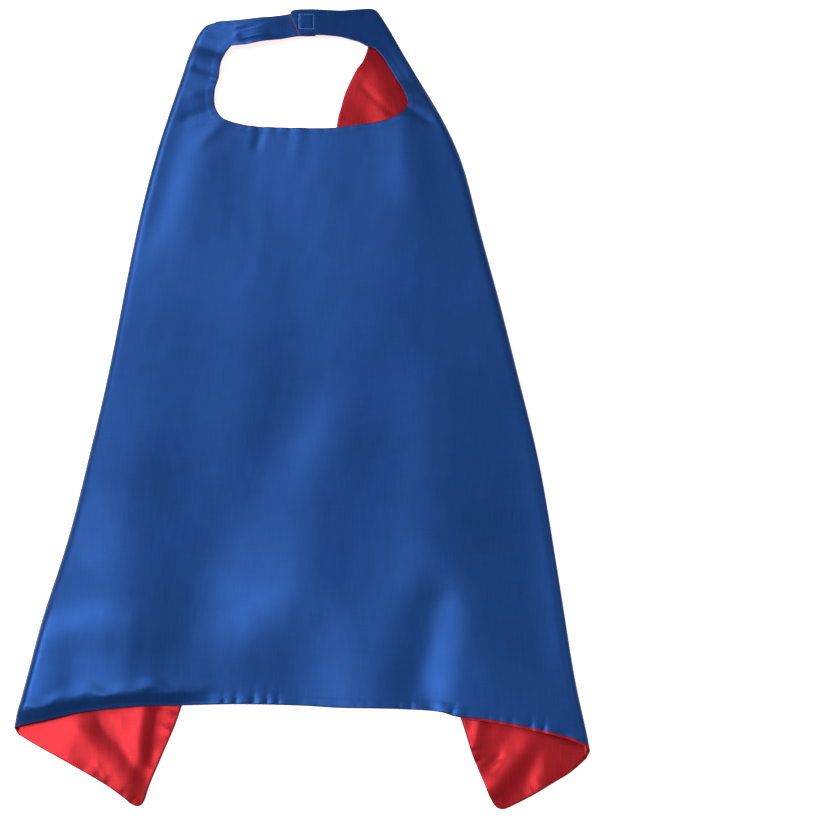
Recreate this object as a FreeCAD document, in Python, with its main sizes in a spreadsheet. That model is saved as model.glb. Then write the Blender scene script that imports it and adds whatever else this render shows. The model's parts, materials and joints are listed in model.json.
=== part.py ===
"""Child's reversible satin superhero cape, laid flat with both sides folded under.

Units are millimetres.  +Z is up, +Y runs from the hem to the collar, and the origin is
the middle of the cape's outline on the surface that it lies on.

The cape is a shell of one satin and a lining of another, sewn together round the edge.
Each layer is split only where the cloth folds: at the two side folds, across the strap
and across the closure's tab.  Every fold line lies on the shell's outer face, so the
cloth on either side of it turns without crossing.
"""
import FreeCAD, Part
import math
import os
import Sketcher

# ---------------------------------------------------------------- driving dimensions

DIMENSIONS = [
    # alias, value, meaning
    ("cloth_thickness", 0.5, "one layer of satin"),
    ("seam_gap", 0.3, "air between shell and lining, where the seam's thread lies"),
    ("stack_height", 9.0, "top of the shell above the floor"),
    ("fold_round", 4.2, "outer radius of a side fold"),
    ("fold_clearance", 0.4, "gap at a fold line between the cloth that moves and the rest"),
    ("tape_thickness", 1.0, "one tape of the hook and loop closure"),
    ("tape_size", 18.0, "side of each square of tape"),
    ("tape_centre_x", -16.5, "middle of the closure"),
    ("tape_centre_y", 373.0, "middle of the closure"),
    ("strap_fold_x", 30.0, "fold line across the right strap"),
    ("tab_fold_x", -2.0, "fold line where the tab peels off"),
    ("left_strap_root_x", -88.0, "where the left strap leaves the shoulder"),
    ("left_strap_dip_start_x", -72.0, "the left strap starts to dip under the tab"),
    ("left_strap_dip_end_x", -42.0, "the left strap is down under the tab"),
    ("stitch_length", 1.9, "one stitch"),
    ("stitch_pitch", 2.5, "from one stitch to the next"),
    ("stitch_width", 0.4, "width of a laid stitch"),
    ("stitch_height", 0.25, "height of a laid stitch"),
    ("stitch_inset", 1.5, "from the edge of the tape to its stitches"),
    ("thread_radius", 0.12, "seam thread"),
    ("seam_inset", 7.0, "seam allowance, from the edge to the seam's thread"),
    ("tip_inset", 9.8, "seam allowance, from the tip of a lower corner to the seam's thread"),
    ("collar_inset", 14.0, "from the collar to the seam's end inside the right side"),
    ("overrun", 4.0, "how far a hollow runs past the ends that it opens"),
    ("profile_reach", 900.0, "depth of a side profile, more than the cape's length"),
    ("gap_stitch_count", 15, "stitches that close the gap left for turning"),
    ("gap_stitch_start_x", -57.0, "first stitch of the closed gap"),
    ("hem_curve_left", 420.0, "radius of the hem's left stretch"),
    ("hem_curve_right", 740.0, "radius of the hem's right stretch"),
    ("neck_front_curve", 44.0, "neck opening, beside the right strap"),
    ("neck_right_curve", 21.0, "neck opening, lower right corner"),
    ("neck_left_curve", 32.0, "neck opening, lower left corner"),
    ("neck_strap_curve", 22.0, "neck opening, beside the left strap"),
    ("left_edge_lower_curve", 814.0, "free edge of the left side, lower half"),
    ("left_edge_upper_curve", 1105.0, "free edge of the left side, upper half"),
    ("right_edge_lower_curve", 3330.0, "free edge of the right side, lower half"),
    ("right_edge_middle_curve", 750.0, "free edge of the right side, middle"),
    ("right_edge_upper_curve", 290.0, "free edge of the right side, inside the neck"),
    ("left_tip_round", 5.5, "lower corner of the left side"),
    ("right_tip_round", 7.0, "lower corner of the right side"),
    ("tab_round", 5.0, "corner of the tab"),
]

POINTS = [
    # name, x, y: the corners of the cape as it lies
    ("left_fold_low", -232.0, -324.0),
    ("left_fold_high", -118.0, 366.0),
    ("left_edge_low", -243.5, -328.0),
    ("left_edge_middle", -181.5, 66.0),
    ("left_edge_shoulder", -160.0, 232.0),
    ("left_edge_high", -129.0, 360.0),
    ("right_fold_low", 234.0, -340.0),
    ("right_fold_high", 58.0, 380.0),
    ("right_edge_low", 243.5, -346.0),
    ("right_edge_hip", 218.0, -154.0),
    ("right_edge_waist", 181.5, 38.0),
    ("right_edge_shoulder", 135.0, 236.0),
    ("right_edge_high", 66.0, 377.0),
    ("hem_left", -104.0, -308.0),
    ("hem_right", 83.0, -311.0),
    ("collar_right", 54.0, 391.5),
    ("collar_left", -106.0, 374.5),
    ("strap_fold_top", 30.0, 388.5),
    ("strap_fold_bottom", 30.0, 355.0),
    ("neck_front", 57.0, 342.0),
    ("neck_right_top", 83.0, 297.0),
    ("neck_right_bottom", 77.0, 263.5),
    ("neck_bottom_right", 20.0, 252.0),
    ("neck_bottom_left", -70.0, 253.0),
    ("neck_left_bottom", -105.0, 276.0),
    ("neck_left_top", -102.0, 325.0),
    ("above_strap_right", 30.0, 400.0),
    ("above_strap_left", -88.0, 400.0),
    ("left_strap_bottom", -88.0, 347.0),
    ("left_strap_top", -88.0, 376.5),
    ("left_strap_middle_bottom", -55.0, 350.5),
    ("left_strap_middle_top", -55.0, 379.0),
    ("left_strap_narrow_bottom", -34.0, 358.5),
    ("left_strap_narrow_top", -34.0, 384.5),
    ("left_strap_end_bottom", -7.0, 360.0),
    ("left_strap_end_top", -7.0, 385.5),
    ("tab_fold_top", -2.0, 387.0),
    ("tab_fold_bottom", -2.0, 359.0),
    ("tab_top", -29.0, 386.0),
    ("tab_corner", -33.0, 381.0),
    ("tab_bottom", -23.5, 357.5),
    ("left_side_corner", -233.5, -333.0),
    ("left_side_tip_outer", -138.5, -388.0),
    ("left_side_tip_inner", -130.0, -384.0),
    ("left_side_waist", -63.0, -60.0),
    ("left_side_neck", -107.0, 255.0),
    ("left_side_collar", -111.0, 363.0),
    ("right_side_corner", 236.4, -350.0),
    ("right_side_tip_outer", 171.5, -390.5),
    ("right_side_tip_inner", 161.5, -387.0),
    ("right_side_waist", 30.0, -10.0),
    ("right_side_neck", 17.0, 257.0),
    ("right_side_strap", 47.0, 348.0),
    ("right_side_collar", 52.0, 384.0),
]

PARTS_FOLDER = "parts"
OUT = 1                  # an arc that bulges out of its outline
IN = -1                  # an arc that bulges into it
LONG_EDGE = 50.0         # the edges along a side fold are longer than this


doc = FreeCAD.newDocument("cape")
sheet = doc.addObject("Spreadsheet::Sheet", "dims")
nodes = []


def fill_sheet():
    """Write every driving dimension and point into the sheet, one cell and alias each."""
    cells = list(DIMENSIONS)
    for name, x, y in POINTS:
        cells.append((name + "_x", x, "across the cape"))
        cells.append((name + "_y", y, "along the cape"))
    for row, (alias, value, meaning) in enumerate(cells, start=1):
        sheet.set(f"A{row}", alias)
        sheet.set(f"B{row}", str(value))
        sheet.setAlias(f"B{row}", alias)
        sheet.set(f"C{row}", meaning)
    doc.recompute()


def number(expression):
    """The value of an expression of the sheet's aliases."""
    return float(sheet.evalExpression(expression))


def keep(item, label):
    """Give an object its label and list it as one sub-part of the cape."""
    item.Label = label
    nodes.append(item)
    return item


# ------------------------------------------------------------------ outlines and pads

def corners_of(outline, moved=None):
    """Turn (point, radius, side) entries into (x, y, radius, side) expressions.

    moved names points that lie off their place, each with what is added to its x and y.
    """
    moved = moved or {}
    corners = []
    for name, radius, side in outline:
        more_x, more_y = moved.get(name, ("0", "0"))
        corners.append((f"dims.{name}_x + {more_x}", f"dims.{name}_y + {more_y}", radius, side))
    return corners


def add_edge(sketch, start, end, radius, side):
    """Add a line or an arc, and return its number and which of its ends come first and last."""
    if radius is None:
        return sketch.addGeometry(Part.LineSegment(start, end), False), 1, 2
    chord = end - start
    across = FreeCAD.Vector(chord.y, -chord.x, 0).normalize()
    reach = math.sqrt(radius ** 2 - (chord.Length / 2) ** 2)
    centre = (start + end) * 0.5 - across * reach * side
    begin, finish = (start, end) if side == OUT else (end, start)
    begin_angle = math.atan2(begin.y - centre.y, begin.x - centre.x)
    finish_angle = math.atan2(finish.y - centre.y, finish.x - centre.x)
    circle = Part.Circle(centre, FreeCAD.Vector(0, 0, 1), radius)
    edge = sketch.addGeometry(Part.ArcOfCircle(circle, begin_angle, finish_angle), False)
    return (edge, 1, 2) if side == OUT else (edge, 2, 1)


def bind(sketch, name, constraint, expression):
    """Add a named constraint and bind it to the sheet."""
    index = sketch.addConstraint(constraint)
    sketch.renameConstraint(index, name)
    sketch.setExpression("Constraints." + name, expression)


def draw(sketch, corners, closed=True):
    """Draw corners joined by lines and arcs, with every corner and radius bound to the sheet."""
    spots = [FreeCAD.Vector(number(x), number(y), 0) for x, y, _, _ in corners]
    count = len(corners) if closed else len(corners) - 1
    edges = []
    for step in range(count):
        alias, side = corners[step][2:]
        radius = number("dims." + alias) if alias else None
        edges.append(add_edge(sketch, spots[step], spots[(step + 1) % len(spots)], radius, side))
    for step in range(count if closed else count - 1):
        this_edge, _, last = edges[step]
        next_edge, first, _ = edges[(step + 1) % count]
        sketch.addConstraint(Sketcher.Constraint("Coincident", this_edge, last, next_edge, first))
    for step, (x, y, alias, _) in enumerate(corners):
        edge, first, last = edges[min(step, count - 1)]
        end = first if step < count else last
        spot = spots[step]
        bind(sketch, f"across{step}",
             Sketcher.Constraint("DistanceX", -1, 1, edge, end, spot.x), x)
        bind(sketch, f"along{step}",
             Sketcher.Constraint("DistanceY", -1, 1, edge, end, spot.y), y)
        if alias and step < count:
            bind(sketch, f"round{step}",
                 Sketcher.Constraint("Radius", edge, number("dims." + alias)), "dims." + alias)


def body_with_pad(name, corners, length, base="0", plane="XY_Plane", midplane=False):
    """A body padded from one outline; length and base are expressions of the sheet."""
    body = doc.addObject("PartDesign::Body", name)
    sketch = body.newObject("Sketcher::SketchObject", name + "_outline")
    support = next(item for item in body.Origin.OriginFeatures if item.Role == plane)
    sketch.AttachmentSupport = [(support, "")]
    sketch.MapMode = "FlatFace"
    draw(sketch, corners)
    pad = body.newObject("PartDesign::Pad", name + "_pad")
    pad.Profile = sketch
    pad.Midplane = midplane
    pad.setExpression("Length", length)
    body.setExpression("Placement.Base.z", base)
    doc.recompute()
    return body


# --------------------------------------------------------------- heights of the layers

THICK = "dims.cloth_thickness"
PITCH = "(dims.cloth_thickness + dims.seam_gap)"
SHELL_BASE = f"dims.stack_height - {THICK}"
LINING_BASE = f"dims.stack_height - {THICK} - {PITCH}"
UNDER_SHELL_BASE = "0"
UNDER_LINING_BASE = PITCH
HOOK_BASE = f"{LINING_BASE} - dims.tape_thickness"
LOOP_BASE = f"{LINING_BASE} - 2 * dims.tape_thickness"
LOW_SHELL_BASE = f"{LOOP_BASE} - {THICK}"
LOW_LINING_BASE = f"{LOOP_BASE} - {THICK} - {PITCH}"
TOP_THREAD = f"{SHELL_BASE} - dims.seam_gap / 2"
UNDER_THREAD = f"{THICK} + dims.seam_gap / 2"

# ------------------------------------------------------------------------- the outlines

BACK = [
    ("left_fold_low", "hem_curve_left", IN),
    ("hem_left", None, OUT),
    ("hem_right", "hem_curve_right", IN),
    ("right_fold_low", None, OUT),
    ("right_fold_high", None, OUT),
    ("collar_right", None, OUT),
    ("strap_fold_top", None, OUT),
    ("left_strap_top", None, OUT),
    ("collar_left", None, OUT),
    ("left_fold_high", None, OUT),
]

NECK = [
    ("left_strap_bottom", "neck_strap_curve", OUT),
    ("neck_left_top", None, OUT),
    ("neck_left_bottom", "neck_left_curve", OUT),
    ("neck_bottom_left", None, OUT),
    ("neck_bottom_right", None, OUT),
    ("neck_right_bottom", "neck_right_curve", OUT),
    ("neck_right_top", None, OUT),
    ("neck_front", "neck_front_curve", OUT),
    ("strap_fold_bottom", None, OUT),
]
NECK_AND_STRAPS = NECK + [("above_strap_right", None, OUT), ("above_strap_left", None, OUT)]

LEFT_FOLD = [
    ("left_fold_low", None, OUT),
    ("left_fold_high", None, OUT),
    ("left_edge_high", None, OUT),
    ("left_edge_shoulder", None, OUT),
    ("left_edge_middle", None, OUT),
    ("left_edge_low", None, OUT),
]

RIGHT_FOLD = [
    ("right_fold_low", None, OUT),
    ("right_edge_low", None, OUT),
    ("right_edge_hip", None, OUT),
    ("right_edge_waist", None, OUT),
    ("right_edge_shoulder", None, OUT),
    ("right_edge_high", None, OUT),
    ("right_fold_high", None, OUT),
]

LEFT_SIDE = [
    ("left_side_corner", None, OUT),
    ("left_side_tip_outer", "left_tip_round", OUT),
    ("left_side_tip_inner", "left_edge_lower_curve", OUT),
    ("left_side_waist", "left_edge_upper_curve", OUT),
    ("left_side_neck", None, OUT),
    ("left_side_collar", None, OUT),
    ("left_fold_high", None, OUT),
]

RIGHT_SIDE = [
    ("right_side_corner", None, OUT),
    ("right_fold_high", None, OUT),
    ("right_side_collar", None, OUT),
    ("right_side_strap", "right_edge_upper_curve", OUT),
    ("right_side_neck", "right_edge_middle_curve", OUT),
    ("right_side_waist", "right_edge_lower_curve", OUT),
    ("right_side_tip_inner", "right_tip_round", OUT),
    ("right_side_tip_outer", None, OUT),
]

LEFT_STRAP = [
    ("left_strap_bottom", None, OUT),
    ("left_strap_middle_bottom", None, OUT),
    ("left_strap_narrow_bottom", None, OUT),
    ("left_strap_end_bottom", None, OUT),
    ("left_strap_end_top", None, OUT),
    ("left_strap_narrow_top", None, OUT),
    ("left_strap_middle_top", None, OUT),
    ("left_strap_top", None, OUT),
]

RIGHT_STRAP = [
    ("strap_fold_bottom", None, OUT),
    ("strap_fold_top", None, OUT),
    ("tab_fold_top", None, OUT),
    ("tab_fold_bottom", None, OUT),
]

TAB = [
    ("tab_fold_bottom", None, OUT),
    ("tab_fold_top", None, OUT),
    ("tab_top", "tab_round", OUT),
    ("tab_corner", None, OUT),
    ("tab_bottom", None, OUT),
]

CLEAR_RIGHTWARD = ("dims.fold_clearance", "0")
CLEAR_LEFTWARD = ("-dims.fold_clearance", "0")
LEFT_SIDE_MOVED = {"left_side_corner": CLEAR_RIGHTWARD, "left_fold_high": CLEAR_RIGHTWARD}
RIGHT_SIDE_MOVED = {"right_side_corner": CLEAR_LEFTWARD, "right_fold_high": CLEAR_LEFTWARD}
STRAP_MOVED = {"strap_fold_bottom": CLEAR_LEFTWARD, "strap_fold_top": CLEAR_LEFTWARD}
TAB_MOVED = {"tab_fold_bottom": CLEAR_LEFTWARD, "tab_fold_top": CLEAR_LEFTWARD}


# ------------------------------------------------------------------------- the sub-parts

def flat_layers(place, outline, shell_base, lining_base, moved=None):
    """A shell and a lining with one outline, each a flat layer of cloth."""
    corners = corners_of(outline, moved)
    for layer, base in (("outer_shell", shell_base), ("lining", lining_base)):
        label = f"{layer}_{place}"
        keep(body_with_pad(label, corners, THICK, base), label)


def cut(label, base, tool):
    """One object taken out of another."""
    item = doc.addObject("Part::Cut", label)
    item.Base = base
    item.Tool = tool
    return item


def neck_space():
    """The neck opening and the room for both straps, taken out of the upper layers only."""
    return body_with_pad("neck_space", corners_of(NECK_AND_STRAPS), "dims.stack_height",
                         "dims.stack_height / 2")


def back_layers(neck):
    """Shell and lining of the back, from one side's fold line to the other's."""
    for layer, base in (("outer_shell", SHELL_BASE), ("lining", LINING_BASE)):
        label = f"{layer}_back"
        keep(cut(label, body_with_pad(label + "_panel", corners_of(BACK), THICK, base), neck), label)


def rounded_block(name, outline, moved, inset, fold_line):
    """The space inside a side fold, rounded along its outer edge."""
    body = body_with_pad(name, corners_of(outline, moved), f"dims.stack_height - 2 * {inset}", inset)
    low, high = (FreeCAD.Vector(number(f"dims.{end}_x"), number(f"dims.{end}_y"), 0)
                 for end in fold_line)
    along = (high - low).normalize()
    pad = body.Tip
    edges = []
    for index, edge in enumerate(pad.Shape.Edges, start=1):
        middle = edge.CenterOfMass
        away = (FreeCAD.Vector(middle.x, middle.y, 0) - low).cross(along).Length
        if edge.Length > LONG_EDGE and away > number("dims.overrun"):
            edges.append(f"Edge{index}")
    fillet = body.newObject("PartDesign::Fillet", name + "_round")
    fillet.Base = (pad, edges)
    fillet.setExpression("Radius", f"dims.fold_round - {inset}")
    doc.recompute()
    return body


def slid_past(end, neighbour, sign):
    """How far a point moves in x while it slides past the end of an edge by the overrun."""
    return (f"{sign} * dims.overrun * (dims.{end}_x - dims.{neighbour}_x)"
            f" / (dims.{end}_y - dims.{neighbour}_y)")


def fold_layer(label, outline, side, inset, neck):
    """One layer of cloth where a side folds under: a rounded block with its inside taken out.

    The inside runs past the hem, the collar and the fold line, so the layer is open there.
    The neck opening reaches past the right fold line, so it is taken out of the layer too.
    """
    inward = "-" if side == "right" else ""
    fold_line = (side + "_fold_low", side + "_fold_high")
    edge_points = [name for name, _, _ in outline if name.startswith(side + "_edge")]
    edge_points.sort(key=lambda name: number(f"dims.{name}_y"))
    deeper = f"({inset} + {THICK})"
    skin = {name: (f"{inward}{inset}", "0") for name in edge_points}
    hollow = {name: (f"{inward}{deeper}", "0") for name in edge_points}
    ends = ((edge_points[0], edge_points[1], fold_line[0], -1),
            (edge_points[-1], edge_points[-2], fold_line[1], 1))
    for end, neighbour, fold_point, sign in ends:
        past = f"{sign} * dims.overrun"
        hollow[end] = (f"{inward}{deeper} + {slid_past(end, neighbour, sign)}", past)
        hollow[fold_point] = (f"{inward}dims.overrun", past)
    layer = cut(label + "_layer",
                rounded_block(label + "_skin", outline, skin, inset, fold_line),
                rounded_block(label + "_hollow", outline, hollow, deeper, fold_line))
    keep(cut(label, layer, neck), label)


def side_folds(neck):
    """Shell and lining of both side folds, the lining nested in the shell."""
    for side, outline in (("left", LEFT_FOLD), ("right", RIGHT_FOLD)):
        fold_layer(f"outer_shell_{side}_fold", outline, side, "0", neck)
        fold_layer(f"lining_{side}_fold", outline, side, PITCH, neck)


def left_strap_layer(label, high_base, low_base):
    """A layer of the left strap, which dips from the shoulder to lie under the tab."""
    xs = ("dims.left_strap_root_x - dims.overrun", "dims.left_strap_dip_start_x",
          "dims.left_strap_dip_end_x", "dims.left_strap_end_top_x + dims.overrun")
    heights = (high_base, high_base, low_base, low_base)
    under = [(x, z, None, OUT) for x, z in zip(xs, heights)]
    over = [(x, f"{z} + {THICK}", None, OUT) for x, z in zip(xs, heights)]
    profile = body_with_pad(label + "_profile", under + over[::-1], "dims.profile_reach",
                            plane="XZ_Plane", midplane=True)
    plan = body_with_pad(label + "_plan", corners_of(LEFT_STRAP), "dims.stack_height")
    common = doc.addObject("Part::Common", label)
    common.Base = plan
    common.Tool = profile
    return keep(common, label)


def left_strap():
    """The strap that stays down, with its two layers."""
    left_strap_layer("outer_shell_left_strap", SHELL_BASE, LOW_SHELL_BASE)
    left_strap_layer("lining_left_strap", LINING_BASE, LOW_LINING_BASE)


def box(name, length, width, height, position):
    """A Part::Box whose sizes and place are expressions of the sheet."""
    item = doc.addObject("Part::Box", name)
    for prop, expression in zip(("Length", "Width", "Height"), (length, width, height)):
        item.setExpression(prop, expression)
    for axis, expression in zip("xyz", position):
        item.setExpression("Placement.Base." + axis, expression)
    return item


def closure_tapes():
    """The two squares of tape, mated: loops on the left strap, hooks under the tab."""
    for label, base in (("loop_tape", LOOP_BASE), ("hook_tape", HOOK_BASE)):
        keep(box(label, "dims.tape_size", "dims.tape_size", "dims.tape_thickness",
                 ("dims.tape_centre_x - dims.tape_size / 2",
                  "dims.tape_centre_y - dims.tape_size / 2", base)), label)


def group(label, pieces):
    """Separate solids of one kind kept together as one sub-part."""
    compound = doc.addObject("Part::Compound", label)
    compound.Links = pieces
    return keep(compound, label)


def box_stitching(label, base):
    """A square of stitches that sews one tape to its strap."""
    reach = "(dims.tape_size / 2 - dims.stitch_inset)"
    per_side = round(number(f"2 * {reach} / dims.stitch_pitch"))
    stitches = []
    for index in range(per_side):
        along = f"({index} - {per_side - 1} / 2) * dims.stitch_pitch - dims.stitch_length / 2"
        for sign in (-1, 1):
            across = f"{sign} * {reach} - dims.stitch_width / 2"
            stitches.append(box(f"{label}_row_{index}_{sign + 1}",
                                "dims.stitch_length", "dims.stitch_width", "dims.stitch_height",
                                (f"dims.tape_centre_x + {along}", f"dims.tape_centre_y + {across}", base)))
            stitches.append(box(f"{label}_column_{index}_{sign + 1}",
                                "dims.stitch_width", "dims.stitch_length", "dims.stitch_height",
                                (f"dims.tape_centre_x + {across}", f"dims.tape_centre_y + {along}", base)))
    return group(label, stitches)


def gap_stitching():
    """Stitches over the hem's edge that close the gap through which the cape was turned."""
    stitches = []
    for index in range(int(number("dims.gap_stitch_count"))):
        stitches.append(box(f"gap_stitch_{index}", "dims.stitch_length", "dims.stitch_height",
                            f"dims.stack_height - ({LINING_BASE})",
                            (f"dims.gap_stitch_start_x + {index} * dims.stitch_pitch",
                             "dims.hem_right_y - dims.stitch_height", LINING_BASE)))
    return group("hem_closing_stitches", stitches)


def seam_thread(label, outline, moved, height):
    """The thread of a seam: one round run of it along each edge of an open path."""
    path = doc.addObject("Sketcher::SketchObject", label + "_path")
    draw(path, corners_of(outline, moved), closed=False)
    path.setExpression("Placement.Base.z", height)
    doc.recompute()
    runs = []
    for index, edge in enumerate(path.Shape.Edges, start=1):
        section = doc.addObject("Part::Circle", f"{label}_section_{index}")
        section.setExpression("Radius", "dims.thread_radius")
        section.Placement = FreeCAD.Placement(
            edge.valueAt(edge.FirstParameter),
            FreeCAD.Rotation(FreeCAD.Vector(0, 0, 1), edge.tangentAt(edge.FirstParameter)))
        run = doc.addObject("Part::Sweep", f"{label}_run_{index}")
        run.Sections = [section]
        run.Spine = (path, [f"Edge{index}"])
        run.Solid = True
        runs.append(run)
    return group(label, runs)


HEM_SEAM = BACK[:3] + [("right_fold_low", None, OUT)]
LEFT_SIDE_SEAM = LEFT_SIDE[:6]
RIGHT_SIDE_SEAM = RIGHT_SIDE[2:] + [("right_side_corner", None, OUT)]
STRAP_SEAM = [("strap_fold_top", None, OUT), ("tab_fold_top", None, OUT)]
TAB_SEAM = [("tab_fold_top", None, OUT), ("tab_top", None, OUT), ("tab_bottom", None, OUT),
            ("tab_fold_bottom", None, OUT)]


def seam_threads():
    """The seam that joins shell and lining round the cape, one run of thread on each body."""
    inset = "dims.seam_inset"
    up = ("0", inset)
    seam_thread("seam_thread_hem", HEM_SEAM, {
        "left_fold_low": ("dims.overrun", inset), "hem_left": up, "hem_right": up,
        "right_fold_low": ("-dims.overrun", inset)}, TOP_THREAD)
    seam_thread("seam_thread_neck", [(name, None, OUT) for name, _, _ in NECK], {
        "strap_fold_bottom": ("dims.overrun", inset), "neck_front": (inset, "dims.overrun"),
        "neck_right_top": (inset, "0"), "neck_right_bottom": (inset, f"-{inset}"),
        "neck_bottom_right": ("0", f"-{inset}"), "neck_bottom_left": ("0", f"-{inset}"),
        "neck_left_bottom": (f"-{inset}", f"-{inset}"), "neck_left_top": (f"-{inset}", "0"),
        "left_strap_bottom": (f"-{inset}", inset)}, TOP_THREAD)
    seam_thread("seam_thread_left_side", LEFT_SIDE_SEAM, {
        "left_side_corner": (inset, inset), "left_side_tip_outer": ("0", "dims.tip_inset"),
        "left_side_tip_inner": (f"-{inset}", "dims.tip_inset"), "left_side_waist": (f"-{inset}", "0"),
        "left_side_neck": (f"-{inset}", "0"), "left_side_collar": ("-dims.overrun", f"-{inset}")},
        UNDER_THREAD)
    seam_thread("seam_thread_right_side", RIGHT_SIDE_SEAM, {
        "right_side_collar": ("dims.overrun", "-dims.collar_inset"), "right_side_strap": (inset, "0"),
        "right_side_neck": (inset, "0"), "right_side_waist": (inset, "0"),
        "right_side_tip_inner": (inset, "dims.tip_inset"), "right_side_tip_outer": ("0", "dims.tip_inset"),
        "right_side_corner": (f"-{inset}", inset)}, UNDER_THREAD)
    seam_thread("seam_thread_right_strap", STRAP_SEAM, {
        "strap_fold_top": ("-dims.overrun", f"-{inset}"), "tab_fold_top": ("dims.overrun", f"-{inset}")},
        TOP_THREAD)
    seam_thread("seam_thread_tab", TAB_SEAM, {
        "tab_fold_top": ("-dims.overrun", f"-{inset}"), "tab_top": (inset, f"-{inset}"),
        "tab_bottom": (inset, inset), "tab_fold_bottom": ("-dims.overrun", inset)}, TOP_THREAD)


def build():
    """Make every sub-part."""
    fill_sheet()
    neck = neck_space()
    back_layers(neck)
    side_folds(neck)
    left_strap()
    flat_layers("left_side", LEFT_SIDE, UNDER_SHELL_BASE, UNDER_LINING_BASE, LEFT_SIDE_MOVED)
    flat_layers("right_side", RIGHT_SIDE, UNDER_SHELL_BASE, UNDER_LINING_BASE, RIGHT_SIDE_MOVED)
    flat_layers("right_strap", RIGHT_STRAP, SHELL_BASE, LINING_BASE, STRAP_MOVED)
    flat_layers("tab", TAB, SHELL_BASE, LINING_BASE, TAB_MOVED)
    closure_tapes()
    box_stitching("hook_tape_stitches", "dims.stack_height")
    box_stitching("loop_tape_stitches", f"{LOW_LINING_BASE} - dims.stitch_height")
    gap_stitching()
    seam_threads()
    doc.recompute()


def check():
    """Stop if any object failed to compute, or any sub-part is not a sound solid."""
    for item in doc.Objects:
        if "Invalid" in item.State or "Error" in item.State:
            raise RuntimeError(f"{item.Label} failed: {item.State}")
    for node in nodes:
        shape = node.Shape
        if shape.isNull() or not shape.isValid() or not shape.Solids:
            raise RuntimeError(f"{node.Label} is not a valid solid")


def write():
    """Write each sub-part to its own STEP file."""
    os.makedirs(PARTS_FOLDER, exist_ok=True)
    for node in nodes:
        node.Shape.exportStep(os.path.join(PARTS_FOLDER, node.Label + ".step"))
        box_of = node.Shape.BoundBox
        print(f"{node.Label:28s} {len(node.Shape.Solids):3d} solids {node.Shape.Volume:10.1f} mm3 "
              f"z {box_of.ZMin:6.2f} to {box_of.ZMax:6.2f}")


build()
check()
write()
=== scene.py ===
"""Child's reversible satin cape, laid flat with both sides folded under.

Lengths in this script are millimetres, in the part's own frame, and MM turns them into metres.
Every piece of cloth starts as a flat pattern.  A place function then says where each point
of the pattern lies: on top, round the fold at either side, or underneath.  Depth is measured
into the cloth from the shell's outer face, so shell, lining and thread share one function.
"""
import json
import math
import bpy
import numpy as np
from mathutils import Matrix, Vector
from mathutils.geometry import delaunay_2d_cdt
from mathutils.kdtree import KDTree


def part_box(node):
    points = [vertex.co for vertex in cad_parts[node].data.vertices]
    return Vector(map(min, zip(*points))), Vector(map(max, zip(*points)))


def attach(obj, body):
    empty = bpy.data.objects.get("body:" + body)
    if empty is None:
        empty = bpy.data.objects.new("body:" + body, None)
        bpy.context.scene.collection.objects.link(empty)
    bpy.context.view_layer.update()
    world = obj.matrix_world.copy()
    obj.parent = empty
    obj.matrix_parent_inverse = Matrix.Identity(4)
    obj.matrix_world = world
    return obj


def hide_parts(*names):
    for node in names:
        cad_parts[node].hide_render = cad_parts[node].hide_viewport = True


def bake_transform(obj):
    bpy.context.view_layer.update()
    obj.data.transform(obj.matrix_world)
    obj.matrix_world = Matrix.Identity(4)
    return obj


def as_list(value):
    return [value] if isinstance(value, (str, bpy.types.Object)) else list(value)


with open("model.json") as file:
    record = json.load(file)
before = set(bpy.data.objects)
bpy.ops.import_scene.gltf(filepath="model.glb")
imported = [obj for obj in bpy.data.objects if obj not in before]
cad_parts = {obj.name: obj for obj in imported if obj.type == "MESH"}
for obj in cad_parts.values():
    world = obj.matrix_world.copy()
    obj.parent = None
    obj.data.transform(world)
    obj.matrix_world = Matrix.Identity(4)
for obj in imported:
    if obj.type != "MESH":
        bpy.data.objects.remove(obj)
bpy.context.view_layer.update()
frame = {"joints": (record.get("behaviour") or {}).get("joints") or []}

MM = 0.001
TINY = 1e-9  # keeps a division going where a length comes to 0
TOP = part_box("outer_shell_back")[1].z / MM  # height of the shell's outer face

# ---------- sizes of the cloth

SATIN = 0.25  # thickness of one layer of satin
THREAD = 0.2  # radius of the thread that shows
SEAM_THREAD = 0.12  # radius of the seam's thread
STITCH_PITCH = 2.5
STITCH_LENGTH = 2.1
LINING_OUTER = 1.3  # depth of the lining's outer face
SEAM_DEPTH = 0.65  # depth of the seam, midway between the two outer faces
EDGE_ROLL = 1.4  # the outer faces roll together over this distance at an edge
EDGE_CLOSED = 0.78  # how nearly they meet at the edge itself
SEAM_INSET = 7.0  # from an edge to the seam's thread
ALLOWANCE_WIDTH = SEAM_INSET + 2.5  # cloth turned in along an edge
ALLOWANCE_STEP = 4.0  # from the allowance's cut edge to where it lifts the shell fully
ALLOWANCE_RISE = 0.16  # and how much it lifts it

ROUND_TOP = 9.0  # a side fold starts to turn this far from its edge
ROUND_BOTTOM = 4.0  # and lies flat again this far inside it, underneath
TURN_TOP = 11.2  # cloth in the upper quarter of the turn
TURN_BOTTOM = 6.7  # cloth in the lower quarter of the turn

STRAP_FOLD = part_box("outer_shell_right_strap")[1].x / MM  # line where the strap lifts
TAB_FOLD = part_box("outer_shell_tab")[1].x / MM  # line where the tab peels
STRAP_HIGH, STRAP_LOW = (STRAP_FOLD, 388.6), (STRAP_FOLD, 355.4)  # ends of those two lines
TAB_HIGH, TAB_LOW = (TAB_FOLD, 387), (TAB_FOLD, 359)
LEFT_STRAP_FOOT = (-92, 346)  # where the neck meets the left strap


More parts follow.
